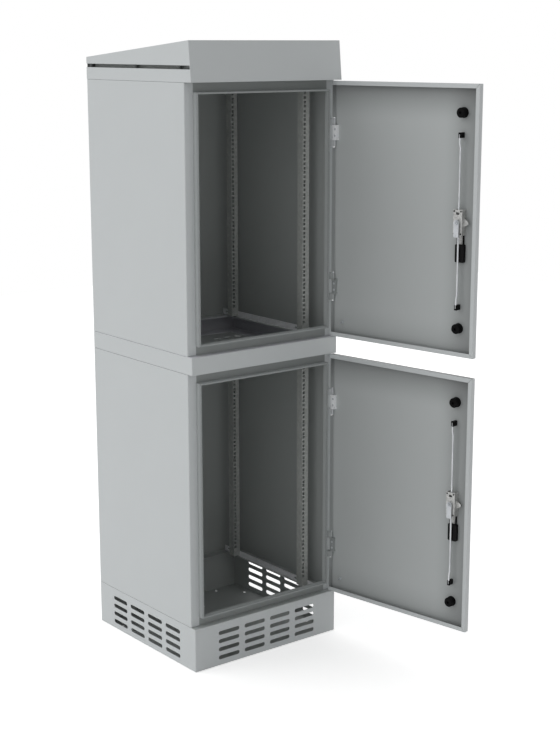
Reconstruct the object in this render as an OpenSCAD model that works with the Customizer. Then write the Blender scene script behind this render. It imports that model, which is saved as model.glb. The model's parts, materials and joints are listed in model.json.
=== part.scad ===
// Two-compartment roadside utility cabinet with a vented plinth and a vented pent roof.
// Millimetres, X to the right, Y to the back, Z up. The origin is on the ground, under the
// middle of the compartments. Both doors are hinged on the right and stand open.

/* [Cabinet] */
// Outside width of the cabinet
body_w = 615; // [600:1:720]
// Front to back depth of each compartment
body_d = 580; // [540:1:760]
// Rack units in each compartment
rack_units = 18; // [14:1:24]
// Height left above and below the rack space of a compartment
frame_margin = 37; // [34:1:60]
// Height of the collar between the compartments
collar_h = 60; // [40:1:120]
// Thickness of the sheet metal
sheet = 2; // [1.6:0.1:2.4]
// Outside radius of the folded vertical edges
bend_r = 3; // [2.6:0.1:5]
// Width of the floor flanges along the sides
side_flange = 61; // [52:1:70]
// Width of the floor flanges along the front and back
end_flange = 40; // [25:1:60]
// Distance from the side to the middle one of three cable holes
cable_hole_side = 132.5; // [125:0.5:150]
// Diameter of the cable holes in the top sheets
cable_hole_d = 30; // [20:1:40]
// Distance between neighbouring cable holes
cable_hole_pitch = 45; // [42:1:55]
// Distance of the cable holes behind the middle of the compartment
cable_hole_y = 143; // [100:1:160]

/* [Plinth] */
// Height of the plinth
plinth_h = 153; // [140:1:200]
// Length of one vent slot
vent_w = 88; // [60:1:96]
// Height of one vent slot
vent_h = 14.5; // [8:0.5:20]
// Distance between slot columns
vent_pitch_x = 111; // [104:1:125]
// Distance between slot rows
vent_pitch_z = 29.5; // [26:0.5:32]
// Height of the lowest slot row
vent_first_z = 28.5; // [20:0.5:34]
// Distance of the anchor holes from the sides
anchor_side = 28.5; // [24:0.5:60]
// Distance between the anchor holes from front to back
anchor_y = 380; // [300:1:440]
// Diameter of the anchor holes
anchor_d = 12; // [9:0.5:16]
// Diameter of the drain holes near the back of the floor
drain_d = 10; // [6:0.5:14]

/* [Roof] */
// Height of the roof at the fascia
roof_front_h = 129; // [110:1:170]
// Height of the roof at the back
roof_back_h = 74; // [68:1:100]
// How far the fascia stands out from the compartments at its lower edge
roof_overhang = 39; // [32:1:70]
// How far the fascia leans back over its height
fascia_lean = 12.8; // [0:0.2:20]
// Height of the ring under the vent gap
ring_h = 40; // [30:1:46]
// Height of the vent gap
vent_gap = 12; // [8:1:16]
// Width of the flanges that face the vent gap
roof_flange = 26; // [22:1:40]
// Radius of the spacers in the vent gap
spacer_r = 7; // [4:0.5:9]

/* [Doors] */
// Angle at which the doors stand open
door_open = 99.6; // [0:0.1:115]
// Gap between a door and the side of the cabinet
door_side_gap = 8.5; // [6:0.5:10]
// Gap above and below a door
door_end_gap = 3; // [2:0.5:6]
// Gap between the return lip of a closed door and the front stiles
door_gap = 4; // [3:0.5:8]
// Thickness of the door pan
door_t = 20; // [19:0.5:26]
// Width of the return lip on the three free edges of the door
lip_w = 14; // [8:0.5:16]
// Width of the front stiles beside the door opening
stile_w = 39.5; // [37.5:0.5:41.5]
// Space between the rack units and the edge of the opening
opening_clear = 1; // [0.5:0.5:4]
// Width of the raised rim round the opening
rim_w = 6; // [5.5:0.5:9]
// Width of the door seal on the rim
seal_w = 5; // [3:0.5:5.5]
// Thickness of the door seal
seal_t = 5.5; // [3:0.5:7]
// Space between the seal and the closed door
seal_clear = 0.5; // [0.4:0.1:2]

/* [Hinges] */
// Distance of a hinge from the end of its door
hinge_inset = 172; // [120:1:220]
// Height of a hinge
hinge_h = 94; // [80:1:110]
// Height of the hinge block on the door
hinge_block_h = 50; // [30:1:56]
// Radius of the hinge knuckles
knuckle_r = 5.5; // [4.5:0.1:6]
// Radius of the hinge pins
pin_r = 3; // [2:0.1:3.4]
// Radial clearance of pins, rods and spindles that turn
turn_clear = 0.05; // [0.02:0.01:0.1]
// Space between pieces that move past each other
move_clear = 0.4; // [0.3:0.05:0.8]

/* [Lock] */
// Distance of the lock line from the free edge of the door
lock_edge = 69; // [67:1:90]
// Tooth module of the lock pinion
gear_module = 1.5; // [1.4:0.05:1.6]
// Number of pinion teeth, an even number
gear_teeth = 12; // [12:2:14]
// Pressure angle of the teeth
gear_angle = 25; // [22:1:27]
// Play between the teeth of the pinion and a rack
gear_play = 0.6; // [0.5:0.05:0.8]
// Half height of the lock housing
lock_half_h = 41; // [38:1:50]
// Radius of the lock spindle
spindle_r = 4.5; // [4:0.1:5.5]
// Length of the lock tongue from the spindle
tongue_l = 47; // [44:1:54]
// Width of the lock tongue
tongue_w = 19; // [14:1:24]
// Radius of the lock rods
rod_r = 3; // [2.5:0.1:3.5]
// Distance of the rods from the door skin
rod_stand = 16; // [15:0.5:18]
// How far the rod ends are cranked away from the door
rod_crank = 4; // [2:0.5:6]
// Distance of a rod guide from the end of the door
guide_inset = 160; // [130:1:200]
// Distance of a buffer from the end of the door
buffer_inset = 90; // [60:1:110]
// Diameter of a buffer
buffer_d = 34; // [24:1:36]
// Height of a buffer
buffer_h = 22; // [14:1:24]
// Distance from the spindle to the cylinder in the handle plate
cylinder_drop = 100; // [85:1:120]
// Length of the handle lever
lever_l = 132; // [115:1:150]

/* [Rails] */
// Distance from the side of the cabinet to the hole row of a rail
rail_side_set = 74.95; // [73:0.05:78]
// Distance of the front rails behind the front of the compartment
front_rail_set = 64; // [50:1:120]
// Distance of the rear rails in front of the back of the compartment
rear_rail_set = 106; // [90:1:200]
// Width of the face of a rail
rail_face = 28; // [24:1:34]
// Depth of the inner flange of a rail
rail_flange = 29; // [15:1:34]
// Width of the square rail holes
rail_hole_w = 9.5; // [8:0.1:10]
// Height of the bars that carry the rails
bar_h = 21; // [18:1:30]

/* [Hidden] */
$fn = 48;
paint = "#b4b8b8";
zinc = "#c9ccce";
black = "#1c1d1e";

// Heights
rack_u = 44.45;
rack_h = rack_units * rack_u;
opening_h = rack_h + 2 * opening_clear;
box_h = opening_h + 2 * frame_margin;
level_names = ["lower", "upper"];
level_z = [plinth_h, plinth_h + box_h + collar_h];
collar_z = plinth_h + box_h;
roof_z = level_z[1] + box_h;

// Front to back positions
front_y = -body_d / 2;
back_y = body_d / 2;
skin_y = front_y - door_gap - door_t;
skin_in_y = skin_y + sheet;
lip_y = front_y - door_gap;
rim_h = door_gap + door_t - sheet - seal_t - seal_clear;
rim_y = front_y - rim_h;
opening_w = body_w - 2 * stile_w;
rim_out_w = opening_w + 2 * rim_w;
rim_out_h = opening_h + 2 * rim_w;
opening_z = (box_h - opening_h) / 2;

// Doors and hinges
door_w = body_w - 2 * door_side_gap;
door_h = box_h - 2 * door_end_gap;
hinge_x = door_w / 2 - 2;
hinge_y = skin_in_y + knuckle_r + seal_clear;
hinge_zs = [door_end_gap + hinge_inset, box_h - door_end_gap - hinge_inset];
notch_clear = 3;
seam_w = 0.8;

// Lock
lock_x = -door_w / 2 + lock_edge;
lock_z = box_h / 2;
pitch_r = gear_module * gear_teeth / 2;
addendum = 0.8 * gear_module;
dedendum = 1.1 * gear_module;
tooth_pitch = PI * gear_module;
travel = pitch_r * PI / 2;
rack_back = 4;
rack_out = pitch_r + dedendum + rack_back;
rod_y = skin_in_y + rod_stand;
rod_end_y = rod_y + rod_crank;
gear_w = 8;
rack_t = 6;
case_wall = 2;
case_half_w = rack_out + gear_play / 4 + move_clear + case_wall;
cover_y = rod_y + gear_w / 2 + move_clear;
tongue_t = 3;
tongue_y = front_y + sheet + 3;
nut_t = 6;
plate_t = 6;
plate_half_w = 18;
pivot_y = skin_y - plate_t - 7;
pivot_r = 6;
head_t = 8;
cheek_t = 5;
lever_t = 9;
guide_half_h = 8.5;
guide_w = 8;
guide_r = rod_r + 2.2;

// Floor and top sheet holes
anchor_x = body_w - 2 * anchor_side;
drains = [[body_w / 2 - 239.5, back_y - 123], [body_w / 2 - 107.5, back_y - 22]];
cable_hole_x = body_w / 2 - cable_hole_side;

// Rails
rack_hole_span = body_w - 2 * rail_side_set;
rail_in = rack_hole_span / 2 - 7.15;
rail_out = rail_in + rail_face;
rail_gap = 6;
rail_ys = [front_y + front_rail_set, back_y - rear_rail_set];
bar_end = 8;

// Roof
cap_z = ring_h + vent_gap;
roof_slope = (roof_front_h - roof_back_h) / (body_d + roof_overhang - fascia_lean);
fascia_y = front_y - roof_overhang;

per_level = [
    "shell", "frame", "gasket", "front_left_rail", "front_right_rail", "rear_left_rail", "rear_right_rail",
    "floor_bars", "top_bars", "hinge_brackets", "hinge_pins", "door_panel", "hinge_blocks", "door_buffers",
    "rod_guides", "earth_stud", "lock_gearbox", "lock_cover", "cylinder_block", "handle_plate",
    "lock_spindle", "lock_tongue", "tongue_nut", "lever_pin", "handle_lever", "top_rod", "bottom_rod"
];
NODES = concat(
    ["plinth", "collar", "roof_ring", "roof_cap", "roof_spacers"],
    [for (level = level_names) for (name = per_level) str(level, "_", name)]
);
node = "all";

function wanted(name) = node == "all" || node == name;

// Plan of a folded wrap: a rectangle with rounded corners
module plan(w, y0, y1, r) {
    translate([-w / 2 + r, y0]) square([w - 2 * r, y1 - y0]);
    translate([-w / 2, y0 + r]) square([w, y1 - y0 - 2 * r]);
    for (x = [-w / 2 + r, w / 2 - r], y = [y0 + r, y1 - r]) translate([x, y]) circle(r);
}

// Block with every edge rounded, as three crossed profiles
module bent_block(w, y0, y1, h, r) {
    intersection() {
        linear_extrude(h) plan(w, y0, y1, r);
        translate([0, (y0 + y1) / 2, 0]) rotate([90, 0, 0])
            linear_extrude(y1 - y0, center = true) plan(w, 0, h, r);
        rotate([90, 0, 90]) linear_extrude(w, center = true)
            translate([(y0 + y1) / 2, 0]) plan(y1 - y0, 0, h, r);
    }
}

// Folded section, one sheet thick and closed all round, with its bends
module section(h, y0, y1) {
    difference() {
        bent_block(body_w, y0, y1, h, bend_r);
        translate([0, 0, sheet])
            bent_block(body_w - 2 * sheet, y0 + sheet, y1 - sheet, h - 2 * sheet, bend_r - sheet);
    }
}

// Cut that leaves flanges round the floor or top of a section
module flange_cut(y0, y1, side, end) {
    translate([-body_w / 2 + side, y0 + end, -1]) cube([body_w - 2 * side, y1 - y0 - 2 * end, sheet + 2]);
}

// Round-ended slot that cuts along Y
module slot(w, h, depth) {
    rotate([90, 0, 0]) linear_extrude(depth, center = true) {
        square([w - h, h], center = true);
        for (side = [-1, 1]) translate([side * (w - h) / 2, 0]) circle(h / 2);
    }
}

module vent_field(depth) {
    for (col = [-1.5:1:1.5], row = [0:3])
        translate([col * vent_pitch_x, 0, vent_first_z + row * vent_pitch_z]) slot(vent_w, vent_h, depth);
}

module plinth() {
    mid_y = (skin_y + back_y) / 2;
    color(paint) difference() {
        section(plinth_h, skin_y, back_y);
        translate([0, 0, plinth_h - sheet]) flange_cut(skin_y, back_y, side_flange / 2, end_flange);
        translate([0, skin_y, 0]) vent_field(4 * sheet);
        for (side = [-1, 1])
            translate([side * body_w / 2, mid_y, 0]) rotate([0, 0, 90]) vent_field(4 * sheet);
        for (x = [-anchor_x / 2, anchor_x / 2], y = [-anchor_y / 2, anchor_y / 2])
            translate([x, y, -1]) cylinder(d = anchor_d, h = sheet + 2);
        for (side = [-1, 1], at = drains)
            translate([side * at[0], at[1], -1]) cylinder(d = drain_d, h = sheet + 2);
    }
}

module collar() {
    color(paint) translate([0, 0, collar_z]) difference() {
        section(collar_h, skin_y, back_y);
        for (z = [0, collar_h - sheet])
            translate([0, 0, z]) flange_cut(skin_y, back_y, side_flange, end_flange + front_y - skin_y);
    }
}

// Compartment wrap: sides, back, front stiles, top sheet and open floor
module shell() {
    color(paint) difference() {
        section(box_h, front_y, back_y);
        translate([-rim_out_w / 2, front_y - 1, sheet]) cube([rim_out_w, sheet + 1, box_h - 2 * sheet]);
        flange_cut(front_y, back_y, side_flange, end_flange);
        for (side = [-1, 1], i = [-1:1])
            translate([side * cable_hole_x + i * cable_hole_pitch, cable_hole_y, box_h - 2 * sheet])
                cylinder(d = cable_hole_d, h = 3 * sheet);
    }
}

// Front frame: lintel, sill and a folded rim with a U section
module frame() {
    hollow_w = rim_w - 2 * sheet;
    color(paint) difference() {
        union() {
            translate([-rim_out_w / 2, front_y, sheet]) cube([rim_out_w, sheet, box_h - 2 * sheet]);
            translate([-rim_out_w / 2, rim_y, opening_z - rim_w])
                cube([rim_out_w, rim_h + sheet, rim_out_h]);
        }
        translate([-opening_w / 2, rim_y - 1, opening_z]) cube([opening_w, rim_h + sheet + 2, opening_h]);
        translate([0, rim_y + sheet, 0]) difference() {
            translate([-opening_w / 2 - sheet - hollow_w, 0, opening_z - sheet - hollow_w])
                cube([opening_w + 2 * (sheet + hollow_w), rim_h + 1, opening_h + 2 * (sheet + hollow_w)]);
            translate([-opening_w / 2 - sheet, -1, opening_z - sheet])
                cube([opening_w + 2 * sheet, rim_h + 3, opening_h + 2 * sheet]);
        }
    }
}

// Door seal pushed onto the front of the rim
module gasket() {
    inset = (rim_w - seal_w) / 2;
    color("#8d9192") translate([0, rim_y - seal_t, 0]) difference() {
        translate([-opening_w / 2 - inset - seal_w, 0, opening_z - inset - seal_w])
            cube([opening_w + 2 * (inset + seal_w), seal_t, opening_h + 2 * (inset + seal_w)]);
        translate([-opening_w / 2 - inset, -1, opening_z - inset])
            cube([opening_w + 2 * inset, seal_t + 2, opening_h + 2 * inset]);
    }
}

// Rack rail: a C section with three holes in each rack unit
module rail(side, y) {
    z0 = sheet + rail_gap;
    h = box_h - 2 * z0;
    color("#8b8f8f") translate([0, y, 0]) mirror([side < 0 ? 1 : 0, 0, 0]) {
        difference() {
            translate([rail_in, 0, z0]) cube([rail_face, sheet, h]);
            for (unit = [0:rack_units - 1], at = [6.35, 22.225, 38.1])
                translate([rack_hole_span / 2, 0, opening_z + opening_clear + unit * rack_u + at])
                    cube([rail_hole_w, 3 * sheet, rail_hole_w], center = true);
        }
        translate([rail_in, 0, z0]) cube([sheet, rail_flange, h]);
        translate([rail_out - sheet, 0, z0]) cube([sheet, rail_flange - 5, h]);
    }
}

// Pair of bars along the depth, with an adjusting slot beside each rail
module bars() {
    color("#8b8f8f") for (side = [0, 1]) mirror([side, 0, 0]) difference() {
        translate([rail_out, front_y + sheet + bar_end, 0])
            cube([sheet, body_d - 2 * (sheet + bar_end), bar_h]);
        for (y = rail_ys)
            translate([rail_out + sheet / 2, y + rail_flange + 30, bar_h / 2]) rotate([0, 0, 90])
                slot(40, 7, 2 * sheet + 2);
    }
}

// Roof ring: sides, back and soffit under the vent gap, with an upstand that keeps rain out
module roof_ring() {
    lean = fascia_lean * ring_h / roof_front_h;
    clear = 0.2 + sheet;
    well_x = body_w / 2 - roof_flange - 6;
    well_y = [front_y + end_flange, back_y - roof_flange - 6];
    color(paint) translate([0, 0, roof_z]) difference() {
        union() {
            difference() {
                ring_solid(body_w, fascia_y + clear, back_y, ring_h, lean);
                translate([0, 0, sheet]) ring_solid(
                    body_w - 2 * sheet, fascia_y + clear + sheet, back_y - sheet, ring_h - 2 * sheet, lean
                );
            }
            translate([-well_x - sheet, well_y[0] - sheet, ring_h - sheet])
                cube([2 * (well_x + sheet), well_y[1] - well_y[0] + 2 * sheet, vent_gap + 3 * sheet]);
        }
        translate([-well_x, well_y[0], -1]) cube([2 * well_x, well_y[1] - well_y[0], cap_z + 20]);
    }
    // rear filler that closes the vent gap along the back
    color(paint) translate([-body_w / 2 + sheet, back_y - 2 * sheet, roof_z + ring_h - sheet])
        cube([body_w - 2 * sheet, sheet, vent_gap + sheet]);
}

// Block whose front leans back by the given amount
module ring_solid(w, y0, y1, h, lean) {
    rotate([90, 0, 90]) linear_extrude(w, center = true)
        polygon([[y0, 0], [y1, 0], [y1, h], [y0 + lean, h]]);
}

// Side view of the roof cap, drawn in by the given amount
module cap_profile(inset) {
    lift = inset * sqrt(1 + roof_slope * roof_slope);
    lean = fascia_lean / roof_front_h;
    front = inset * sqrt(1 + lean * lean);
    corner_z = (roof_front_h - lift + roof_slope * (fascia_lean - front)) / (1 + roof_slope * lean);
    polygon([
        [fascia_y + front, 0],
        [fascia_y + front + lean * corner_z, corner_z],
        [back_y - inset, roof_back_h - lift + inset * roof_slope],
        [back_y - inset, 0]
    ]);
}

// Roof cap: sloping top, side and back skirts over the vent gap, and a full-height fascia
module roof_cap() {
    color(paint) translate([0, 0, roof_z]) difference() {
        rotate([90, 0, 90]) linear_extrude(body_w, center = true) cap_profile(0);
        difference() {
            rotate([90, 0, 90]) linear_extrude(body_w - 2 * sheet, center = true) cap_profile(sheet);
            difference() {
                translate([-body_w / 2, front_y, cap_z]) cube([body_w, body_d, sheet]);
                translate([-body_w / 2 + roof_flange, front_y - 1, cap_z - 1])
                    cube([body_w - 2 * roof_flange, body_d + 1 - roof_flange, sheet + 2]);
            }
        }
        // everything under the skirts goes, up to the back of the fascia
        rotate([90, 0, 90]) linear_extrude(body_w + 2, center = true) polygon([
            [fascia_y + sheet, -1],
            [fascia_y + sheet + fascia_lean * cap_z / roof_front_h, cap_z],
            [back_y + 1, cap_z],
            [back_y + 1, -1]
        ]);
    }
}

module roof_spacers() {
    ys = [front_y + 40, 0, back_y - roof_flange / 2];
    color(black) for (side = [-1, 1], y = ys)
        translate([side * (body_w - roof_flange) / 2, y, roof_z + ring_h])
            cylinder(r = spacer_r, h = vent_gap);
}

// Turns a door piece from its closed place to the open angle
module swing() {
    translate([hinge_x, hinge_y, 0]) rotate([0, 0, door_open]) translate([-hinge_x, -hinge_y, 0]) children();
}

// Door pan with folded sides, rounded front folds and return lips, notched at the hinges
module door_panel() {
    notch_h = hinge_h + 2 * notch_clear;
    color(paint) difference() {
        pan(door_w, door_h, skin_y, bend_r);
        difference() {
            pan(door_w - 2 * sheet, door_h - 2 * sheet, skin_in_y, bend_r - sheet);
            translate([0, lip_y - sheet, box_h / 2]) difference() {
                translate([-door_w / 2, 0, -door_h / 2]) cube([door_w, sheet + 1, door_h]);
                translate([-door_w / 2 + lip_w, -1, -door_h / 2 + lip_w])
                    cube([door_w - lip_w + 1, sheet + 3, door_h - 2 * lip_w]);
            }
        }
        for (z = hinge_zs)
            translate([door_w / 2 - lip_w - 1, skin_in_y, z - notch_h / 2])
                cube([lip_w + 2, door_t, notch_h]);
        translate([lock_x, skin_y - 1, lock_z]) rotate([-90, 0, 0])
            cylinder(r = spindle_r + 1, h = sheet + 2);
        // mitre seams where the return lips meet
        for (sz = [-1, 1])
            translate([-(door_w - lip_w) / 2, lip_y, box_h / 2 + sz * (door_h - lip_w) / 2])
                rotate([0, 45 * sz, 0]) cube([2 * lip_w, 2 * sheet + 0.1, seam_w], center = true);
    }
}

// Pan solid: two profiles with rounded front corners, crossed
module pan(w, h, y0, r) {
    intersection() {
        translate([0, 0, box_h / 2 - h / 2]) linear_extrude(h) pan_section(w, y0, r);
        translate([0, 0, box_h / 2]) rotate([0, 90, 0])
            linear_extrude(w, center = true) pan_section(h, y0, r);
    }
}

module pan_section(w, y0, r) {
    translate([-w / 2, y0 + r]) square([w, lip_y - y0 - r]);
    translate([-w / 2 + r, y0]) square([w - 2 * r, r]);
    for (side = [-1, 1]) translate([side * (w / 2 - r), y0 + r]) circle(r);
}

// Frame side of the hinges: pairs of bored lugs welded to the front stile
module hinge_brackets() {
    lug_h = (hinge_h - hinge_block_h) / 2 - move_clear;
    foot_x = hinge_x - knuckle_r - 8.5;
    color(zinc) for (z = hinge_zs, end = [-1, 1])
    translate([0, 0, z + end * (hinge_h - lug_h) / 2]) difference() {
        union() {
            translate([hinge_x, hinge_y, 0]) cylinder(r = knuckle_r, h = lug_h, center = true);
            linear_extrude(lug_h, center = true) polygon([
                [foot_x, front_y], [foot_x, front_y - 8], [hinge_x - knuckle_r, hinge_y],
                [hinge_x + 1.5, hinge_y], [hinge_x + 1.5, front_y]
            ]);
        }
        translate([hinge_x, hinge_y, 0]) cylinder(r = pin_r + turn_clear, h = lug_h + 2, center = true);
    }
}

module hinge_pins() {
    color(zinc) for (z = hinge_zs) translate([hinge_x, hinge_y, z]) {
        translate([0, 0, -hinge_h / 2 - 1]) cylinder(r = pin_r, h = hinge_h + 1);
        translate([0, 0, hinge_h / 2]) cylinder(r = pin_r + 1.2, h = 2);
    }
}

// Door side of the hinges: capped blocks on the inside of the door skin
module hinge_blocks() {
    cap = 5;
    rise = 2 * (hinge_y - skin_in_y);
    color(zinc) for (z = hinge_zs) translate([0, 0, z]) difference() {
        union() {
            translate([hinge_x, hinge_y, 0]) cylinder(r = knuckle_r, h = hinge_block_h, center = true);
            translate([hinge_x - 13.5, skin_in_y, -hinge_block_h / 2]) cube([15.5, rise, hinge_block_h]);
            for (end = [-1, 1])
                translate([hinge_x - 15, skin_in_y, end * (hinge_block_h - cap) / 2 - cap / 2])
                    cube([17, rise + 1.5, cap]);
        }
        translate([hinge_x, hinge_y, 0])
            cylinder(r = pin_r + turn_clear, h = hinge_block_h + 2, center = true);
    }
}

// Rubber buffers: a flanged drum with a broken edge and a screw recess
module door_buffers() {
    r = buffer_d / 2;
    ends = [door_end_gap + buffer_inset, box_h - door_end_gap - buffer_inset];
    color(black) for (z = ends) translate([lock_x, skin_in_y, z]) rotate([-90, 0, 0])
        rotate_extrude() polygon([
            [0, 0], [r, 0], [r, 3], [r - 1, 4], [r - 1, buffer_h - 3], [r - 3, buffer_h],
            [5, buffer_h], [5, buffer_h - 8], [0, buffer_h - 8]
        ]);
}

// Snap guides that the cranked rod ends slide in, open towards the inside
module rod_guides() {
    ends = [door_end_gap + guide_inset, box_h - door_end_gap - guide_inset];
    color(black) for (z = ends) translate([lock_x, 0, z]) difference() {
        union() {
            translate([0, rod_end_y, 0]) cylinder(r = guide_r, h = 2 * guide_half_h, center = true);
            translate([-guide_w / 2, skin_in_y, -guide_half_h])
                cube([guide_w, rod_end_y - skin_in_y, 2 * guide_half_h]);
        }
        translate([0, rod_end_y, 0]) cylinder(r = rod_r + move_clear, h = 3 * guide_half_h, center = true);
        translate([-0.75 * rod_r, rod_end_y, -2 * guide_half_h])
            cube([1.5 * rod_r, guide_r + 1, 4 * guide_half_h]);
    }
}

module earth_stud() {
    color(zinc) translate([door_w / 2 - 42, skin_in_y, door_end_gap + 50]) rotate([-90, 0, 0]) {
        cylinder(r = 3, h = 14);
        cylinder(r = 5.5, h = 4, $fn = 6);
    }
}

// Lock housing: a channel on the door skin with a fixing ear towards the free edge
module lock_gearbox() {
    ear = 17;
    color(zinc) difference() {
        union() {
            translate([lock_x - case_half_w, skin_in_y, lock_z - lock_half_h])
                cube([2 * case_half_w, cover_y - skin_in_y, 2 * lock_half_h]);
            translate([lock_x - case_half_w, skin_in_y + 8, lock_z]) rotate([-90, 0, 0]) linear_extrude(3)
                polygon([[0, -14], [-ear, -2], [-ear, 4], [0, 14]]);
        }
        translate([lock_x - case_half_w + case_wall, skin_in_y + case_wall, lock_z - lock_half_h - 1])
            cube([2 * (case_half_w - case_wall), cover_y - skin_in_y, 2 * lock_half_h + 2]);
        translate([lock_x, 0, lock_z]) rotate([90, 0, 0])
            cylinder(r = spindle_r + turn_clear, h = 2 * body_d, center = true);
    }
}

module lock_cover() {
    color(zinc) translate([lock_x, cover_y, lock_z]) difference() {
        translate([-case_half_w, 0, -lock_half_h]) cube([2 * case_half_w, case_wall, 2 * lock_half_h]);
        rotate([90, 0, 0]) cylinder(r = spindle_r + turn_clear, h = 4 * case_wall, center = true);
        for (end = [-1, 1]) translate([0, 0, end * (lock_half_h - 12)]) slot(14, 8, 4 * case_wall);
    }
}

// Back of the key cylinder, under the lower rod
module cylinder_block() {
    h = rod_stand - rod_r - 1.5;
    color(black) translate([lock_x - 2, skin_in_y, lock_z - cylinder_drop]) rotate([-90, 0, 0])
        linear_extrude(h) {
            square([34, 50], center = true);
            square([26, 58], center = true);
            for (x = [-13, 13], y = [-25, 25]) translate([x, y]) circle(4);
        }
}

// Handle plate on the outside of the door
module handle_plate() {
    bottom = -cylinder_drop - 35;
    color(black) translate([lock_x, skin_y, lock_z]) rotate([90, 0, 0]) difference() {
        linear_extrude(plate_t) {
            translate([-plate_half_w, bottom]) square([2 * plate_half_w, 35 - bottom]);
            for (y = [bottom, 35]) translate([0, y]) circle(plate_half_w);
        }
        translate([0, 0, -1]) cylinder(r = spindle_r + turn_clear, h = plate_t + 2);
        translate([0, -cylinder_drop, plate_t - 3]) cylinder(r = 11, h = 4);
    }
}

// Points of one pinion flank, from the root circle out along the involute
function flank(t) =
    let (base_r = pitch_r * cos(gear_angle), r = base_r + t * (pitch_r + addendum - base_r))
    let (roll = sqrt(max(0, r * r / (base_r * base_r) - 1)) * 180 / PI, ang = atan(roll * PI / 180))
    let (inv_pitch = tan(gear_angle) * 180 / PI - gear_angle, inv = roll - ang)
    let (half = (tooth_pitch / 4 - gear_play / 4) / pitch_r * 180 / PI)
    [r, half + inv_pitch - inv];

function polar(r, a) = [r * cos(a), r * sin(a)];

function pinion_points() =
    let (step = 360 / gear_teeth, root_r = pitch_r - dedendum, ts = [0:0.25:1])
    [for (tooth = [0:gear_teeth - 1]) each concat(
        [polar(root_r, tooth * step - flank(0)[1])],
        [for (t = ts) polar(flank(t)[0], tooth * step - flank(t)[1])],
        [for (t = ts) polar(flank(1 - t)[0], tooth * step + flank(1 - t)[1])],
        [polar(root_r, tooth * step + flank(0)[1])]
    )];

// Spindle with its pinion, a seat for the tongue and a flat eye for the lever
module lock_spindle() {
    color(zinc) translate([lock_x, 0, lock_z]) {
        translate([0, pivot_y, 0]) rotate([-90, 0, 0]) difference() {
            cylinder(r = spindle_r, h = tongue_y + tongue_t + nut_t + 3 - pivot_y);
            translate([-spindle_r - 1, -spindle_r - 1, -1])
                cube([2 * spindle_r + 2, 2 * spindle_r + 2, pivot_r + move_clear + 1.1]);
        }
        translate([0, rod_y + gear_w / 2, 0]) rotate([90, 0, 0])
            linear_extrude(gear_w) polygon(pinion_points());
        translate([0, cover_y + case_wall + move_clear, 0]) rotate([-90, 0, 0])
            cylinder(r = spindle_r + 3, h = tongue_y - cover_y - case_wall - move_clear);
        difference() {
            union() {
                translate([0, pivot_y, 0]) cylinder(r = pivot_r, h = head_t, center = true);
                translate([-spindle_r, pivot_y, -head_t / 2]) cube([2 * spindle_r, 7, head_t]);
            }
            translate([0, pivot_y, 0]) cylinder(r = 2.5 + turn_clear, h = head_t + 2, center = true);
        }
    }
}

// Tongue on the inner end of the spindle: hangs down when unlocked
module lock_tongue() {
    color(zinc) translate([lock_x, tongue_y, lock_z]) rotate([-90, 0, 0]) difference() {
        linear_extrude(tongue_t) {
            circle(tongue_w / 2);
            translate([-tongue_w / 2, 0]) square([tongue_w, tongue_l - 4]);
            translate([-tongue_w / 2 + 4, 0]) square([tongue_w - 8, tongue_l]);
            for (x = [-1, 1]) translate([x * (tongue_w / 2 - 4), tongue_l - 4]) circle(4);
        }
        translate([0, 0, -1]) cylinder(r = spindle_r + turn_clear, h = tongue_t + 2);
    }
}

module tongue_nut() {
    color(zinc) translate([lock_x, tongue_y + tongue_t, lock_z]) rotate([-90, 0, 0]) difference() {
        cylinder(r = spindle_r + 3.5, h = nut_t, $fn = 6);
        translate([0, 0, -1]) cylinder(r = spindle_r + turn_clear, h = nut_t + 2);
    }
}

module lever_pin() {
    color(zinc) translate([lock_x, pivot_y, lock_z])
        cylinder(r = 2.5, h = head_t + 2 * (move_clear + cheek_t) + 1, center = true);
}

// Swing lever: a fork on the spindle eye and a bar with a rounded end, turned to the open side
module handle_lever() {
    gap = head_t / 2 + move_clear;
    half_w = gap + cheek_t;
    color(black) translate([lock_x, pivot_y, lock_z]) difference() {
        union() {
            cylinder(r = pivot_r, h = 2 * half_w, center = true);
            translate([0, -lever_t / 2, -half_w]) cube([lever_l - half_w, lever_t, 2 * half_w]);
            translate([lever_l - half_w, lever_t / 2, 0]) rotate([90, 0, 0])
                cylinder(r = half_w, h = lever_t);
        }
        translate([-2 * pivot_r, -2 * pivot_r, -gap]) cube([3 * pivot_r + 2, 4 * pivot_r, 2 * gap]);
        cylinder(r = 2.5 + turn_clear, h = 4 * half_w, center = true);
    }
}

// Rack profile in the X Z plane: teeth face +X at the pitch line x = 0
function rack_points(z0, z1) =
    let (half = tooth_pitch / 4 - gear_play / 4, k = tan(gear_angle))
    let (n0 = ceil(z0 / tooth_pitch), n1 = floor(z1 / tooth_pitch))
    concat(
        [[-dedendum - rack_back, z0 - half * 2], [-dedendum, z0 - half * 2]],
        [for (n = [n0:n1]) let (c = (n + 0.5) * tooth_pitch) each [
            [-dedendum, c - half - dedendum * k], [addendum, c - half + addendum * k],
            [addendum, c + half - addendum * k], [-dedendum, c + half + dedendum * k]
        ]],
        [[-dedendum, z1 + tooth_pitch + half * 2], [-dedendum - rack_back, z1 + tooth_pitch + half * 2]]
    );

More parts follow.
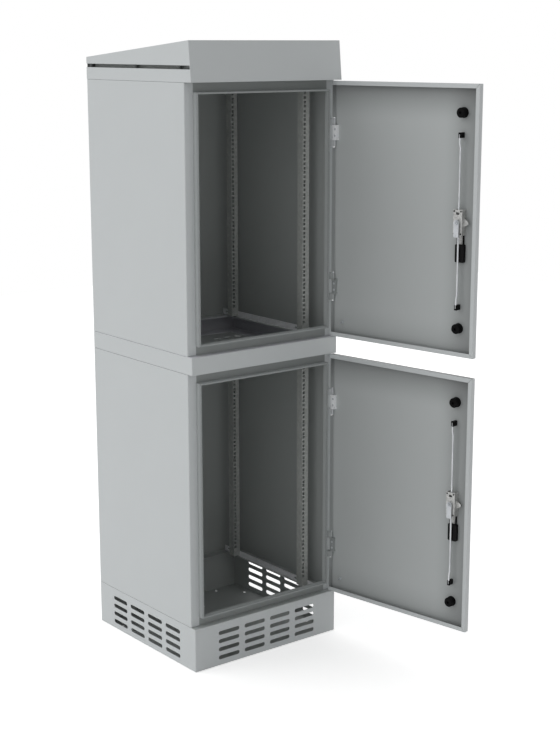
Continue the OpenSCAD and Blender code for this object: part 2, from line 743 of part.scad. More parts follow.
// Lock rod drawn upwards: rack, bridge to the middle line, rod and cranked end
module rod() {
    top = box_h / 2 - door_end_gap - guide_inset;
    crank_z = top - guide_half_h - travel - 3;
    bridge_z = lock_half_h - 9;
    rack_x = -pitch_r - gear_play / 4;
    crank_h = 14;
    bend = rod_r + 0.1;
    translate([rack_x, rod_y + rack_t / 2, 0]) rotate([90, 0, 0]) linear_extrude(rack_t)
        polygon(rack_points(-travel - 8, 6));
    translate([-rack_out, rod_y - rack_t / 2, 6 + tooth_pitch])
        cube([rack_back - gear_play / 4, rack_t, bridge_z - 6 - tooth_pitch + 8]);
    translate([-rack_out, rod_y - rack_t / 2, bridge_z]) cube([rack_out + rod_r, rack_t, 8]);
    translate([0, rod_y, bridge_z + 4]) cylinder(r = rod_r, h = crank_z - crank_h - bridge_z - 4);
    translate([0, rod_y, crank_z - crank_h]) {
        sphere(bend);
        rotate([-atan2(rod_crank, crank_h), 0, 0]) cylinder(r = rod_r, h = norm([rod_crank, crank_h]));
    }
    translate([0, rod_end_y, crank_z]) sphere(bend);
    translate([0, rod_end_y, crank_z]) cylinder(r = rod_r, h = top + 3 - crank_z);
}

module top_rod() {
    color(zinc) translate([lock_x, 0, lock_z]) rod();
}

module bottom_rod() {
    color(zinc) translate([lock_x, 0, lock_z]) rotate([0, 180, 0]) rod();
}

// Pieces that stand on one level: the cabinet's own, then the door's in its open place
module cabinet_piece(name) {
    if (name == "shell") shell();
    if (name == "frame") frame();
    if (name == "gasket") gasket();
    if (name == "front_left_rail") rail(-1, rail_ys[0]);
    if (name == "front_right_rail") rail(1, rail_ys[0]);
    if (name == "rear_left_rail") rail(-1, rail_ys[1]);
    if (name == "rear_right_rail") rail(1, rail_ys[1]);
    if (name == "floor_bars") translate([0, 0, sheet]) bars();
    if (name == "top_bars") translate([0, 0, box_h - sheet - bar_h]) bars();
    if (name == "hinge_brackets") hinge_brackets();
    if (name == "hinge_pins") hinge_pins();
}

module door_piece(name) {
    if (name == "door_panel") door_panel();
    if (name == "hinge_blocks") hinge_blocks();
    if (name == "door_buffers") door_buffers();
    if (name == "rod_guides") rod_guides();
    if (name == "earth_stud") earth_stud();
    if (name == "lock_gearbox") lock_gearbox();
    if (name == "lock_cover") lock_cover();
    if (name == "cylinder_block") cylinder_block();
    if (name == "handle_plate") handle_plate();
    if (name == "lock_spindle") lock_spindle();
    if (name == "lock_tongue") lock_tongue();
    if (name == "tongue_nut") tongue_nut();
    if (name == "lever_pin") lever_pin();
    if (name == "handle_lever") handle_lever();
    if (name == "top_rod") top_rod();
    if (name == "bottom_rod") bottom_rod();
}

if (wanted("plinth")) plinth();
if (wanted("collar")) collar();
if (wanted("roof_ring")) roof_ring();
if (wanted("roof_cap")) roof_cap();
if (wanted("roof_spacers")) roof_spacers();
for (level = [0, 1], name = per_level)
    if (wanted(str(level_names[level], "_", name))) translate([0, 0, level_z[level]]) {
        cabinet_piece(name);
        swing() door_piece(name);
    }
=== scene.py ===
import json
import math
import bpy
import bmesh
from mathutils import Matrix, Vector


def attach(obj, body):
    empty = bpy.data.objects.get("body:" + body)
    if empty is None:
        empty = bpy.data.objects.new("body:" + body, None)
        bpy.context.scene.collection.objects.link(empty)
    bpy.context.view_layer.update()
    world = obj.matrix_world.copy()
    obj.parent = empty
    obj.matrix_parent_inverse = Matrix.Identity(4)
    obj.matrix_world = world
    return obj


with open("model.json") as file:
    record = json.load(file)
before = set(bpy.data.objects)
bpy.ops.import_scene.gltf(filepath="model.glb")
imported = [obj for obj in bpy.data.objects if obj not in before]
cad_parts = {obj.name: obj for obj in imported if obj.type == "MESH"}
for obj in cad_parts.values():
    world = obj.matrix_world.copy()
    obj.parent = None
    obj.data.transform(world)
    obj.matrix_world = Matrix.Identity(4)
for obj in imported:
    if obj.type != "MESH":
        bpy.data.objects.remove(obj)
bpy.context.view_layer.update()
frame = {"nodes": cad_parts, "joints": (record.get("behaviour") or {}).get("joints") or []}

levels = ("lower", "upper")
signs = (-1, 1)
nodes = frame["nodes"]
joints = {j["name"]: j for j in frame["joints"]}
mm = 0.001
print("frame loaded:", len(nodes), "nodes")

# sizes that scene and source share, all in millimetres
cabinet = dict(sideX=307.5, backY=290.0, frontY=-290.0, skinY=-314.0, openAngle=99.6, lockX=-230.0,
               boxHeight=876.1, levelZ=(153.0, 1089.1), roofZ=1965.2)


def linear(hexText):  # sRGB hex to linear RGBA
    parts = [int(hexText[i:i + 2], 16) / 255 for i in (1, 3, 5)]
    return tuple(c / 12.92 if c <= 0.04045 else ((c + 0.055) / 1.055) ** 2.4 for c in parts) + (1.0,)


def addNode(tree, kind, inputs=None, **settings):  # one node with its settings and links
    node = tree.nodes.new(kind)
    for key, value in settings.items():
        setattr(node, key, value)
    for socket, value in (inputs or {}).items():
        target = node.inputs[socket]
        if isinstance(value, bpy.types.NodeSocket):
            tree.links.new(value, target)
        else:
            target.default_value = value
    return node


def calc(tree, operation, *values):  # one math node on one or two values
    return addNode(tree, "ShaderNodeMath", dict(enumerate(values)), operation=operation).outputs[0]


def product(tree, first, *others):
    for other in others:
        first = calc(tree, "MULTIPLY", first, other)
    return first


def blend(tree, share, first, second):  # share 0 gives the first colour, 1 the second
    inputs = {"Factor": share, 6: first, 7: second}
    return addNode(tree, "ShaderNodeMix", inputs, data_type="RGBA").outputs[2]


def remap(tree, value, toMin, toMax, fromMin=0.0, fromMax=1.0, **settings):
    inputs = {"Value": value, "From Min": fromMin, "From Max": fromMax, "To Min": toMin, "To Max": toMax}
    return addNode(tree, "ShaderNodeMapRange", inputs, **settings).outputs["Result"]


def axes(tree, vector):
    return addNode(tree, "ShaderNodeSeparateXYZ", {"Vector": vector}).outputs


def scaled(tree, vector, share):
    inputs = {0: vector, "Scale": share}
    return addNode(tree, "ShaderNodeVectorMath", inputs, operation="SCALE").outputs["Vector"]


def perMm(size):  # texture scale that gives a feature of this many millimetres
    return 1.0 / (size * mm)


def noise(tree, place, size, detail):  # size in millimetres
    inputs = {"Vector": place, "Scale": perMm(size), "Detail": detail}
    return addNode(tree, "ShaderNodeTexNoise", inputs).outputs["Fac"]


def cells(tree, place, size):  # size in millimetres
    return addNode(tree, "ShaderNodeTexVoronoi", {"Vector": place, "Scale": perMm(size)}).outputs


def link(tree, output, shader, socket):
    tree.links.new(output, shader.inputs[socket])


def addBump(tree, shader, height, strength, depth):  # depth in millimetres
    bump = addNode(tree, "ShaderNodeBump", {"Height": height, "Strength": strength, "Distance": depth * mm})
    link(tree, bump.outputs["Normal"], shader, "Normal")


def newFinish(name, sockets):
    material = bpy.data.materials.new(name)
    material.use_nodes = True
    tree = material.node_tree
    tree.nodes.clear()
    shader = addNode(tree, "ShaderNodeBsdfPrincipled", sockets)
    addNode(tree, "ShaderNodeOutputMaterial", {"Surface": shader.outputs["BSDF"]})
    place = addNode(tree, "ShaderNodeTexCoord").outputs["Object"]
    return material, tree, shader, place


# Polyester powder coat on sheet steel, baked: fine orange peel, a soft sheen and a faint mottle.
# The peel is about 2 mm in life; it is drawn at 5 mm so that it shows.
# The inner, roof inner, recess, rim and door inside tones are painted shade: the one coat drawn darker where
# the sheet lies in shade.
coat = dict(outside="#c3c7c8", inside="#a9adac", recess="#8f9392", roofInsideShade="#7f8382", bandInside="#c2c3c8",
            doorInsideShade="#b2b6b6", rim="#adb1b1", hinge="#989c9c", peel=5.0, mottle=140.0, mottleShare=0.007,
            roughness=0.48, roughSpread=0.08, skin=1.2, rimDepth=1.0, upFacing=0.5)
doorPan = dict(skinInside=-6.5, underLip=10.5, edgeX=1.0, farX=-595.0)  # from the hinge axis, millimetres
# painted shade: towards the pan's inside corners the tone is darker, where the lips shade the skin: start,
# end, least share
paintedCornerShade = dict(hinge=("X", 1.0, -8.0, 0.68), free=("X", -577.0, -447.0, 0.65),
                  top=("Z", 868.0, 743.0, 0.6), bottom=("Z", 3.0, 123.0, 0.82))
hingeAt = Vector(joints["lower_door_hinge"]["pos_m"])
hingeAt.z = 0.0


def levelHeight(tree, z):  # metres above the floor of the compartment a point belongs to
    low, high = (v * mm for v in cabinet["levelZ"])
    return calc(tree, "FLOORED_MODULO", calc(tree, "SUBTRACT", z, low), high - low)


def insideShare(tree, place, frontY, topOutside):  # 1 on faces inside the sheet's wrap, 0 on its outer skin
    at = axes(tree, place)
    inX = calc(tree, "LESS_THAN", calc(tree, "ABSOLUTE", at["X"]), (cabinet["sideX"] - coat["skin"]) * mm)
    inBack = calc(tree, "LESS_THAN", at["Y"], (cabinet["backY"] - coat["skin"]) * mm)
    inFront = calc(tree, "GREATER_THAN", at["Y"], (frontY + coat["skin"]) * mm)
    share = product(tree, inX, inBack, inFront)
    if topOutside:  # the sheet's upper face is outside too
        rise = axes(tree, addNode(tree, "ShaderNodeNewGeometry").outputs["True Normal"])["Z"]
        share = product(tree, share, calc(tree, "LESS_THAN", rise, coat["upFacing"]))
    return share


# painted shade: the pan's inner skin is drawn darker than the coat outside, and darker still towards its
# inside corners
def doorPaintedShade(tree, place):  # the pan's inner skin is darker than its edges and return lips
    back = Matrix.Rotation(math.radians(-cabinet["openAngle"]), 4, "Z") @ Matrix.Translation(-hingeAt)
    closed = addNode(tree, "ShaderNodeMapping", {"Vector": place, "Location": back.to_translation(),
                                                 "Rotation": back.to_euler()})
    at = axes(tree, closed.outputs["Vector"])
    limits = (("Y", "GREATER_THAN", "skinInside"), ("Y", "LESS_THAN", "underLip"),
              ("X", "LESS_THAN", "edgeX"), ("X", "GREATER_THAN", "farX"))
    within = product(tree, *(calc(tree, test, at[axis], doorPan[edge] * mm) for axis, test, edge in limits))
    ways = dict(X=at["X"], Z=levelHeight(tree, at["Z"]))
    tone = linear(coat["doorInsideShade"])[:3]
    for way, start, end, least in paintedCornerShade.values():
        share = remap(tree, ways[way], least, 1.0, start * mm, end * mm, interpolation_type="SMOOTHSTEP")
        tone = scaled(tree, tone, share)
    return blend(tree, within, linear(coat["outside"]), tone)


def powderCoat(name, frontY=None, face="outside", inner="inside", topOutside=False):
    material, tree, shader, place = newFinish(name, {"IOR": 1.5, "Specular IOR Level": 0.4})
    # painted shade: the rim and the set-back lintel and sill are drawn darker, as they lie in shade
    if face == "recess":  # set-back lintel and sill, between the rim and the stiles
        deep = calc(tree, "GREATER_THAN", axes(tree, place)["Y"], (cabinet["frontY"] - coat["rimDepth"]) * mm)
        colour = blend(tree, deep, linear(coat["rim"]), linear(coat[face]))
    elif face == "doorInsideShade":
        colour = doorPaintedShade(tree, place)
    else:
        # painted shade: faces inside the sheet's wrap take the inner tone, drawn darker where they lie in
        # shade
        share = insideShare(tree, place, frontY, topOutside)
        colour = blend(tree, share, linear(coat[face]), linear(coat[inner]))
    mottle, spread = noise(tree, place, coat["mottle"], detail=4.0), coat["mottleShare"]
    tint = remap(tree, mottle, 1 - spread, 1 + spread, fromMin=0.3, fromMax=0.7)
    link(tree, scaled(tree, colour, tint), shader, "Base Color")
    peel = noise(tree, place, coat["peel"], detail=2.0)
    rough, spread = coat["roughness"], coat["roughSpread"]
    link(tree, remap(tree, peel, rough - spread, rough + spread), shader, "Roughness")
    addBump(tree, shader, peel, strength=0.05, depth=0.6)
    return material


# Bright zinc plated steel, drawn or pressed: cool reflections broken by a faint cloudy passivation.
def zincPlate(name, light, roughness, cloud, metal, dark="#b4b8bc"):
    material, tree, shader, place = newFinish(name, {"Metallic": metal})
    clouds = noise(tree, place, cloud, detail=5.0)
    link(tree, blend(tree, clouds, linear(light), linear(dark)), shader, "Base Color")
    link(tree, remap(tree, clouds, toMin=roughness - 0.07, toMax=roughness + 0.1), shader, "Roughness")
    addBump(tree, shader, noise(tree, place, size=1.2, detail=2.0), strength=0.08, depth=0.2)
    return material


# Hinge fittings: the upper ones of each door keep their satin zinc, the lower ones are coated with the sheet.
def hingeFitting(name, light, dark):
    material, tree, shader, place = newFinish(name, {"Metallic": 0.1, "Roughness": 0.42})
    height = levelHeight(tree, axes(tree, place)["Z"])
    upper = calc(tree, "GREATER_THAN", height, cabinet["boxHeight"] / 2 * mm)
    clouds = noise(tree, place, size=9.0, detail=4.0)
    zinc = blend(tree, clouds, linear(light), linear(dark))
    link(tree, blend(tree, upper, linear(coat["hinge"]), zinc), shader, "Base Color")
    addBump(tree, shader, clouds, strength=0.06, depth=0.3)
    return material


# Hot dip galvanised rail steel: flat grey crystals a few millimetres across with a dull sheen.
def galvanised(name, light, dark):
    material, tree, shader, place = newFinish(name, {"Metallic": 0.2})
    crystal = cells(tree, place, size=9.0)
    link(tree, blend(tree, crystal["Color"], linear(dark), linear(light)), shader, "Base Color")
    link(tree, remap(tree, crystal["Distance"], toMin=0.42, toMax=0.58, fromMax=0.8), shader, "Roughness")
    return material


# Rubber, glass filled nylon and blackened steel: fine grain, low gloss, a little grey dust on top.
def blackMoulding(name, hexColour, roughness, grainSize, dust="#55585a"):
    material, tree, shader, place = newFinish(name, {"IOR": 1.5, "Specular IOR Level": 0.12})
    grain = noise(tree, place, grainSize, detail=3.0)
    patches = noise(tree, place, size=18.0, detail=6.0)
    veil = remap(tree, patches, toMin=0.0, toMax=0.03, fromMin=0.5, fromMax=0.8)
    link(tree, blend(tree, veil, linear(hexColour), linear(dust)), shader, "Base Color")
    link(tree, remap(tree, grain, toMin=roughness - 0.08, toMax=roughness + 0.1), shader, "Roughness")
    addBump(tree, shader, grain, strength=0.15, depth=0.3)
    return material


# Woven steel insect screen: a fine grid of grey wires over dark grey openings, an even dull grey from afar.
# The openings' dark grey is painted shade of the cavity behind the screen.
def wovenScreen(name, wire, openingShade, pitch):
    material, tree, shader, place = newFinish(name, {"Roughness": 0.7, "Specular IOR Level": 0.2})
    inputs = {"Vector": place, "Scale": perMm(pitch) / math.pi}
    waves = [addNode(tree, "ShaderNodeTexWave", inputs, bands_direction=way) for way in ("Y", "Z")]
    grid = calc(tree, "MAXIMUM", *(wave.outputs["Fac"] for wave in waves))
    link(tree, blend(tree, grid, linear(openingShade), linear(wire)), shader, "Base Color")
    addBump(tree, shader, grid, strength=0.3, depth=0.3)
    return material


# Closed cell foam seal: soft, dry, pale grey with open pores.
def foamSeal(name, light, dark):
    material, tree, shader, place = newFinish(name, {"Roughness": 0.9, "Specular IOR Level": 0.2})
    pores = cells(tree, place, size=2.5)["Distance"]
    link(tree, blend(tree, pores, linear(light), linear(dark)), shader, "Base Color")
    addBump(tree, shader, pores, strength=0.3, depth=0.4)
    return material


finishes = dict(
    shellCoat=powderCoat("powderCoatShell", cabinet["frontY"]),
    plinthCoat=powderCoat("powderCoatPlinth", cabinet["skinY"]),
    bandCoat=powderCoat("powderCoatBand", cabinet["skinY"], inner="bandInside"),
    roofCoat=powderCoat("powderCoatRoof", cabinet["skinY"], inner="roofInsideShade"),
    capCoat=powderCoat("powderCoatCap", cabinet["skinY"], inner="roofInsideShade", topOutside=True),
    doorCoat=powderCoat("powderCoatDoor", face="doorInsideShade"),
    frameCoat=powderCoat("powderCoatFrame", face="recess"),
    rail=galvanised("galvanisedRail", "#b8bbb8", "#a6a9a6"),
    bar=galvanised("galvanisedBar", "#f2f2f5", "#e6e7ea"),
    zinc=zincPlate("zincPlatedSteel", "#d7dadd", roughness=0.4, cloud=26.0, metal=0.7),
    rodZinc=zincPlate("zincPlatedRod", "#eef0f2", roughness=0.42, cloud=40.0, metal=0.5),
    casting=zincPlate("zincDieCasting", "#e4e4e2", roughness=0.45, cloud=6.0, metal=0.5, dark="#858786"),
    hingeZinc=hingeFitting("satinZincHinge", "#f8f9fa", "#eaecee"),
    earZinc=hingeFitting("satinZincEar", "#b8bbbd", "#a6aaac"),
    blackSteel=blackMoulding("blackenedSteel", "#0c0c0d", roughness=0.45, grainSize=1.4),
    rubber=blackMoulding("blackRubber", "#060607", roughness=0.72, grainSize=0.9),
    nylon=blackMoulding("glassFilledNylon", "#070708", roughness=0.5, grainSize=0.7),
    spacerRubber=blackMoulding("greyRubber", "#6c6f6f", roughness=0.8, grainSize=0.9),
    seal=foamSeal("foamSeal", "#a6aaaa", "#929696"),
    screen=wovenScreen("wovenSteelScreen", "#b0b4b3", "#6c706f", pitch=1.6),
)

nodeFinish = dict(shell="shellCoat", frame="frameCoat", gasket="seal", front_left_rail="rail",
                  front_right_rail="rail", rear_left_rail="rail", rear_right_rail="rail", floor_bars="bar",
                  top_bars="bar", hinge_brackets="earZinc", hinge_pins="zinc", hinge_blocks="hingeZinc",
                  door_panel="doorCoat", door_buffers="rubber", rod_guides="nylon", earth_stud="zinc",
                  lock_gearbox="casting", lock_cover="casting", cylinder_block="nylon", handle_plate="nylon",
                  lock_spindle="zinc", lock_tongue="zinc", tongue_nut="zinc", lever_pin="zinc",
                  handle_lever="nylon", top_rod="rodZinc", bottom_rod="rodZinc", plinth="plinthCoat",
                  collar="bandCoat", roof_ring="roofCoat", roof_cap="capCoat", roof_spacers="spacerRubber")

for name, piece in nodes.items():
    first, _, rest = name.partition("_")
    piece.data.materials.clear()
    piece.data.materials.append(finishes[nodeFinish[rest if first in levels else name]])
print("finishes set on the frame")


def doorPlace(level):  # takes a point of the closed door to where it stands when the door is open
    at = Vector(joints[level + "_door_hinge"]["pos_m"])
    turn = Matrix.Rotation(math.radians(cabinet["openAngle"]), 4, "Z")
    return Matrix.Translation(at) @ turn @ Matrix.Translation(-at)


def levelBase(level):
    return cabinet["levelZ"][levels.index(level)]


def fromEnds(inset):  # heights at this distance from the compartment's floor and top
    return inset, cabinet["boxHeight"] - inset


def addPiece(name, mesh, body):
    piece = bpy.data.objects.new(name, mesh)
    bpy.context.scene.collection.objects.link(piece)
    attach(piece, body)


# Fastener heads: one tree makes the chamfered head with its recess and sets it on points.
headShape = dict(straight=0.7, crown=0.84)  # shares: height below the chamfer, radius above it


def fastenerTree():
    tree = bpy.data.node_groups.new("fastenerHeads", "GeometryNodeTree")
    face = tree.interface
    face.new_socket("Geometry", in_out="OUTPUT", socket_type="NodeSocketGeometry")
    face.new_socket("Geometry", in_out="INPUT", socket_type="NodeSocketGeometry")
    for label in ("Head Radius", "Head Height", "Recess Radius", "Recess Depth"):
        face.new_socket(label, in_out="INPUT", socket_type="NodeSocketFloat")
    face.new_socket("Sides", in_out="INPUT", socket_type="NodeSocketInt")
    face.new_socket("Finish", in_out="INPUT", socket_type="NodeSocketMaterial")
    size = addNode(tree, "NodeGroupInput").outputs

    def extrude(mesh, top, offset):
        inputs = {"Mesh": mesh, "Selection": top, "Offset Scale": offset, "Individual": False}
        return addNode(tree, "GeometryNodeExtrudeMesh", inputs).outputs

    def shrink(mesh, top, share):
        inputs = {"Geometry": mesh, "Selection": top, "Scale": share}
        return addNode(tree, "GeometryNodeScaleElements", inputs).outputs[0]

    lower = calc(tree, "MULTIPLY", size["Head Height"], headShape["straight"])
    upper = calc(tree, "MULTIPLY", size["Head Height"], 1 - headShape["straight"])
    cylinder = {"Vertices": size["Sides"], "Radius": size["Head Radius"], "Depth": lower}
    body = addNode(tree, "GeometryNodeMeshCylinder", cylinder).outputs
    rise = addNode(tree, "ShaderNodeCombineXYZ", {"Z": calc(tree, "MULTIPLY", lower, 0.5)})
    stand = addNode(tree, "GeometryNodeTransform", {"Geometry": body["Mesh"], "Translation": rise.outputs[0]})
    crown = extrude(stand.outputs[0], body["Top"], upper)
    chamfer = shrink(crown["Mesh"], crown["Top"], headShape["crown"])
    ledge = extrude(chamfer, crown["Top"], 0.0)
    share = calc(tree, "DIVIDE", size["Recess Radius"], size["Head Radius"])
    ring = shrink(ledge["Mesh"], ledge["Top"], calc(tree, "DIVIDE", share, headShape["crown"]))
    head = extrude(ring, ledge["Top"], calc(tree, "MULTIPLY", size["Recess Depth"], -1.0))["Mesh"]
    axis = addNode(tree, "GeometryNodeInputNamedAttribute", {"Name": "axis"}, data_type="FLOAT_VECTOR")
    aim = addNode(tree, "FunctionNodeAlignRotationToVector", {"Vector": axis.outputs["Attribute"]}, axis="Z")
    points = addNode(tree, "GeometryNodeMeshToPoints", {"Mesh": size["Geometry"]})
    place = addNode(tree, "GeometryNodeInstanceOnPoints", {"Points": points.outputs[0], "Instance": head,
                                                           "Rotation": aim.outputs[0]})
    real = addNode(tree, "GeometryNodeRealizeInstances", {"Geometry": place.outputs[0]})
    dress = addNode(tree, "GeometryNodeSetMaterial", {"Geometry": real.outputs[0],
                                                      "Material": size["Finish"]})
    addNode(tree, "NodeGroupOutput", {"Geometry": dress.outputs[0]})
    return tree


headTree = fastenerTree()


def setHeads(name, body, spots, size, finish):  # spots: (point, axis) in metres in the row frame
    seed = bpy.data.meshes.new(name + "Spots")
    seed.from_pydata([point for point, way in spots], [], [])
    ways = seed.attributes.new("axis", "FLOAT_VECTOR", "POINT")
    for i, (point, way) in enumerate(spots):
        ways.data[i].vector = way
    holder = bpy.data.objects.new(name + "Holder", seed)
    bpy.context.scene.collection.objects.link(holder)
    modifier = holder.modifiers.new("heads", "NODES")
    modifier.node_group = headTree
    values = dict(size, Finish=finish)
    for item in headTree.interface.items_tree:
        if item.in_out == "INPUT" and item.name in values:
            modifier[item.identifier] = values[item.name]
    holder.data.update()
    depsgraph = bpy.context.evaluated_depsgraph_get()
    mesh = bpy.data.meshes.new_from_object(holder.evaluated_get(depsgraph))
    holder.modifiers.remove(modifier)
    bpy.data.objects.remove(holder)
    mesh.name = name
    addPiece(name, mesh, body)


def headSize(radius, height, recess, depth, sides):  # millimetres
    return {"Head Radius": radius * mm, "Head Height": height * mm, "Recess Radius": recess * mm,
            "Recess Depth": depth * mm, "Sides": sides}


# screws on the door's fittings, in closed door millimetres
doorScrews = dict(blockX=289.0, blockY=-300.0, blockPitch=22.0, blockInset=175.0,
                  blockHead=headSize(radius=3.8, height=1.3, recess=1.9, depth=0.9, sides=24),
                  coverX=13.0, coverY=-289.6, coverZ=36.0,
                  coverHead=headSize(radius=2.6, height=1.6, recess=1.3, depth=1.0, sides=20),
                  bufferY=-298.0, bufferInset=93.0,
                  bufferHead=headSize(radius=4.3, height=3.0, recess=2.1, depth=1.6, sides=24))
# bolts that hold the rails to the depth bars, head on the outside and nut on the inside
railBolts = dict(barX=255.4, innerX=251.4, depth=11.0, rise=15.5, railY=(-226.0, 184.0),
                 boltHead=headSize(radius=5.6, height=4.0, recess=2.8, depth=0.6, sides=6),
                 nutHead=headSize(radius=5.6, height=5.0, recess=2.9, depth=1.5, sides=6))

for level in levels:
    base, place, door = levelBase(level), doorPlace(level), level + "_door"
    middle = base + cabinet["boxHeight"] / 2
    inward = place.to_3x3() @ Vector((0, 1, 0))

    def doorSpot(x, y, z):
        return place @ (Vector((x, y, z)) * mm), inward

    halfPitch = doorScrews["blockPitch"] / 2
    blockSpots = [doorSpot(doorScrews["blockX"], doorScrews["blockY"], base + z + s * halfPitch)
                  for z in fromEnds(doorScrews["blockInset"]) for s in signs]
    coverSpots = [doorSpot(cabinet["lockX"] + sx * doorScrews["coverX"], doorScrews["coverY"],
                           middle + sz * doorScrews["coverZ"]) for sx in signs for sz in signs]
    bufferSpots = [doorSpot(cabinet["lockX"], doorScrews["bufferY"], base + z)
                   for z in fromEnds(doorScrews["bufferInset"])]
    setHeads(level + "HingeScrews", door, blockSpots, doorScrews["blockHead"], finishes["zinc"])
    setHeads(level + "CoverScrews", door, coverSpots, doorScrews["coverHead"], finishes["blackSteel"])
    setHeads(level + "BufferScrews", door, bufferSpots, doorScrews["bufferHead"], finishes["blackSteel"])
    boltSpots, nutSpots = [], []
    for side in signs:
        for y in railBolts["railY"]:
            for z in fromEnds(railBolts["rise"]):
                for spots, edge, way in ((boltSpots, "barX", side), (nutSpots, "innerX", -side)):
                    at = Vector((side * railBolts[edge], y + railBolts["depth"], base + z)) * mm
                    spots.append((at, Vector((way, 0, 0))))
    setHeads(level + "RailBolts", "cabinet", boltSpots, railBolts["boltHead"], finishes["zinc"])
    setHeads(level + "RailNuts", "cabinet", nutSpots, railBolts["nutHead"], finishes["zinc"])
print("fastener heads set")


# key cylinder in the handle plate's recess: half section (radius, height), turned about its axis
keyCylinder = dict(section=((0.0, 0.0), (10.4, 0.0), (10.4, 2.0), (9.4, 2.6), (6.6, 2.6), (6.4, 2.2),
                            (6.0, 2.2), (5.8, 2.8), (0.0, 2.8)), steps=48, drop=100.0, seatY=-317.0,
                   slotWide=1.8, slotTall=8.0, slotDeep=4.0, slotMiddle=3.2)


def makeKeyCylinder(level):
    build = bmesh.new()
    corners = [build.verts.new((r, 0, h)) for r, h in keyCylinder["section"]]
    edges = [build.edges.new(pair) for pair in zip(corners, corners[1:])]
    bmesh.ops.spin(build, geom=corners + edges, cent=(0, 0, 0), axis=(0, 0, 1), angle=2 * math.pi,
                   steps=keyCylinder["steps"], use_duplicate=False)
    bmesh.ops.remove_doubles(build, verts=build.verts, dist=0.001)
    bmesh.ops.recalc_face_normals(build, faces=build.faces)
    mesh = bpy.data.meshes.new(level + "KeyCylinder")
    build.to_mesh(mesh)
    build.free()
    blank = bpy.data.objects.new("cylinderBlank", mesh)
    cutter = bmesh.new()
    slotSize = (keyCylinder["slotWide"], keyCylinder["slotTall"], keyCylinder["slotDeep"], 1.0)
    bmesh.ops.create_cube(cutter, size=1.0, matrix=Matrix.Diagonal(slotSize))
    cutMesh = bpy.data.meshes.new("keyway")
    cutter.to_mesh(cutMesh)
    cutter.free()
    keyway = bpy.data.objects.new("keyway", cutMesh)
    keyway.location = (0, 0, keyCylinder["slotMiddle"])
    for item in (blank, keyway):
        bpy.context.scene.collection.objects.link(item)
    cut = blank.modifiers.new("keyway", "BOOLEAN")
    cut.object, cut.operation, cut.solver = keyway, "DIFFERENCE", "EXACT"
    bpy.context.view_layer.update()
    done = bpy.data.meshes.new_from_object(blank.evaluated_get(bpy.context.evaluated_depsgraph_get()))
    blank.modifiers.remove(cut)
    for item in (blank, keyway):
        bpy.data.objects.remove(item)
    seatZ = levelBase(level) + cabinet["boxHeight"] / 2 - keyCylinder["drop"]
    seat = Matrix.Translation((cabinet["lockX"], keyCylinder["seatY"], seatZ))
    outward = Matrix.Rotation(math.radians(90), 4, "X")  # local z to outside of the closed door
    done.transform(doorPlace(level) @ Matrix.Scale(mm, 4) @ seat @ outward)
    done.materials.clear()
    done.materials.append(finishes["zinc"])
    addPiece(level + "KeyCylinder", done, level + "_door")


for level in levels:
    makeKeyCylinder(level)
print("key cylinders made")

boxBevel = 0.5


def makeBoxes(name, body, finish, boxes, place):  # boxes: (low corner, high corner) in millimetres
    build = bmesh.new()
    for low, high in boxes:
        middle = (Vector(low) + Vector(high)) / 2
        size = Vector(high) - Vector(low)
        shape = Matrix.Translation(middle) @ Matrix.Diagonal((*size, 1.0))
        bmesh.ops.create_cube(build, size=1.0, matrix=shape)
    bmesh.ops.bevel(build, geom=build.edges[:], offset=boxBevel, segments=2, affect="EDGES")
    mesh = bpy.data.meshes.new(name)
    build.to_mesh(mesh)
    build.free()
    mesh.transform(place @ Matrix.Scale(mm, 4))
    mesh.materials.append(finish)
    addPiece(name, mesh, body)


# strap between cylinder block and gearbox with a dark guide on either edge, heights from the lock's middle
lockStrap = dict(midX=-1.0, wide=20.0, top=-41.0, bottom=-71.0, skin=-312.0, thick=4.0, guideWide=2.6,
                 guideThick=8.0)

for level in levels:
    left, right = (lockStrap["midX"] + side * lockStrap["wide"] / 2 for side in signs)
    low, high, skin = lockStrap["bottom"], lockStrap["top"], lockStrap["skin"]
    strapTop, guideTop = skin + lockStrap["thick"], skin + lockStrap["guideThick"]
    lockMiddle = Vector((cabinet["lockX"], 0.0, levelBase(level) + cabinet["boxHeight"] / 2)) * mm
    place, door = doorPlace(level) @ Matrix.Translation(lockMiddle), level + "_door"
    makeBoxes(level + "LockStrap", door, finishes["casting"],
              [((left, skin, low), (right, strapTop, high))], place)
    makeBoxes(level + "StrapGuides", door, finishes["nylon"],
              [((left - lockStrap["guideWide"], skin, low), (left, guideTop, high)),
               ((right, skin, low), (right + lockStrap["guideWide"], guideTop, high))], place)
print("lock straps made")

# insect screen behind the roof's vent gap, between the ring and the cap's flange on either side; its dark
# grey openings are painted shade of the roof's cavity
roofScreen = dict(innerX=282.0, outerX=284.0, low=40.0, high=52.0, frontY=-289.0, backY=285.5)
screenBoxes = []
for side in signs:
    nearX, farX = sorted(side * roofScreen[edge] for edge in ("innerX", "outerX"))
    screenBoxes.append(((nearX, roofScreen["frontY"], roofScreen["low"]),
                        (farX, roofScreen["backY"], roofScreen["high"])))
makeBoxes("roofScreen", "cabinet", finishes["screen"], screenBoxes,
          Matrix.Translation((0.0, 0.0, cabinet["roofZ"] * mm)))
print("roof screen made")

studio = dict(floorSize=14.0, floorDrop=0.0005, floorPaper="#f2f2f2", floorLift=0.45, ambient=0.74,
              frontDip=0.5, dipPower=3.0, frontWay=(-0.15, -0.98, 0.1), keyWay=(-0.55, 0.62, 0.56),
              farSide=0.62, nearSide=1.38, sunStrength=0.3, sunAngle=35.0, sunFrom=(-0.62, 0.45, 0.64))
white = (1.0, 1.0, 1.0, 1.0)


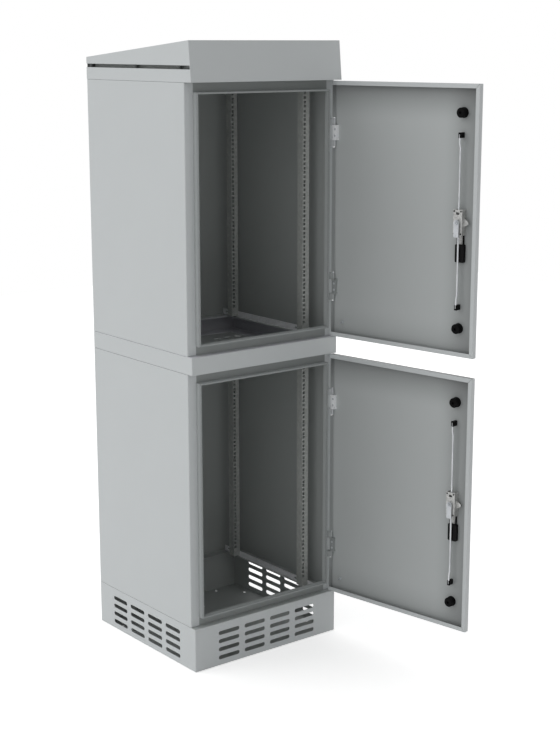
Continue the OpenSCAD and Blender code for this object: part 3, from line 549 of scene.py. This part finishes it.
def seenDirectly(tree):  # 1 where a camera, glossy or transmission ray looks, 0 for the light it gives
    rays = addNode(tree, "ShaderNodeLightPath").outputs
    seen = calc(tree, "MAXIMUM", rays["Is Camera Ray"], rays["Is Glossy Ray"])
    return calc(tree, "MAXIMUM", seen, rays["Is Transmission Ray"])


def along(tree, direction, way):  # cosine between a direction and a fixed way
    inputs = {0: direction, 1: way}
    return addNode(tree, "ShaderNodeVectorMath", inputs, operation="DOT_PRODUCT").outputs["Value"]


# floor: pale, keeps the shadow, topped up to white for the camera
floorMesh = bpy.data.meshes.new("studioFloor")
half = studio["floorSize"] / 2
floorCorners = [(-half, -half, 0), (half, -half, 0), (half, half, 0), (-half, half, 0)]
floorMesh.from_pydata(floorCorners, [], [(0, 1, 2, 3)])
floor = bpy.data.objects.new("studioFloor", floorMesh)
floor.location.z = -studio["floorDrop"]
bpy.context.scene.collection.objects.link(floor)
paper = bpy.data.materials.new("studioPaper")
paper.use_nodes = True
tree = paper.node_tree
tree.nodes.clear()
matt = addNode(tree, "ShaderNodeBsdfDiffuse", {"Color": linear(studio["floorPaper"])})
lift = calc(tree, "MULTIPLY", seenDirectly(tree), studio["floorLift"])
glow = addNode(tree, "ShaderNodeEmission", {"Color": white, "Strength": lift})
total = addNode(tree, "ShaderNodeAddShader", {0: matt.outputs[0], 1: glow.outputs[0]})
addNode(tree, "ShaderNodeOutputMaterial", {"Surface": total.outputs[0]})
floorMesh.materials.append(paper)

# world: white to the camera, as light dimmer from the front and stronger from the left and behind
world = bpy.data.worlds.new("studioWorld")
bpy.context.scene.world = world
world.use_nodes = True
tree = world.node_tree
tree.nodes.clear()
way = addNode(tree, "ShaderNodeTexCoord").outputs["Generated"]
front = calc(tree, "MAXIMUM", along(tree, way, studio["frontWay"]), 0.0)
dip = calc(tree, "POWER", front, studio["dipPower"])
soft = remap(tree, dip, studio["ambient"], studio["ambient"] * (1 - studio["frontDip"]))
over = remap(tree, along(tree, way, studio["keyWay"]), studio["farSide"], studio["nearSide"], fromMin=-1.0)
given = product(tree, soft, over)
strength = addNode(tree, "ShaderNodeMix", {"Factor": seenDirectly(tree), "A": given, "B": 1.0})
sky = addNode(tree, "ShaderNodeBackground", {"Color": white, "Strength": strength.outputs["Result"]})
addNode(tree, "ShaderNodeOutputWorld", {"Surface": sky.outputs[0]})

sunLight = bpy.data.lights.new("keySun", "SUN")
sunLight.energy = studio["sunStrength"]
sunLight.angle = math.radians(studio["sunAngle"])
sun = bpy.data.objects.new("keySun", sunLight)
sun.rotation_euler = Vector(studio["sunFrom"]).to_track_quat("Z", "Y").to_euler()
bpy.context.scene.collection.objects.link(sun)

# camera at the photograph's station; place in metres, angles in degrees, focal length and frame in pixels
station = dict(place=(-3.0190, -4.1972, 2.0869), yaw=38.376, pitch=-12.379, focal=1494.23, frameTall=741,
               sensor=36.0, farthest=100.0)
cameraData = bpy.data.cameras.new("photoCamera")
cameraData.sensor_width = station["sensor"]
cameraData.lens = station["focal"] * station["sensor"] / station["frameTall"]
cameraData.clip_end = station["farthest"]
camera = bpy.data.objects.new("photoCamera", cameraData)
camera.location = station["place"]
camera.rotation_euler = (math.radians(90 + station["pitch"]), 0, math.radians(-station["yaw"]))
bpy.context.scene.collection.objects.link(camera)
bpy.context.scene.camera = camera
bpy.context.scene.view_settings.view_transform = "Standard"
print("studio and camera set")
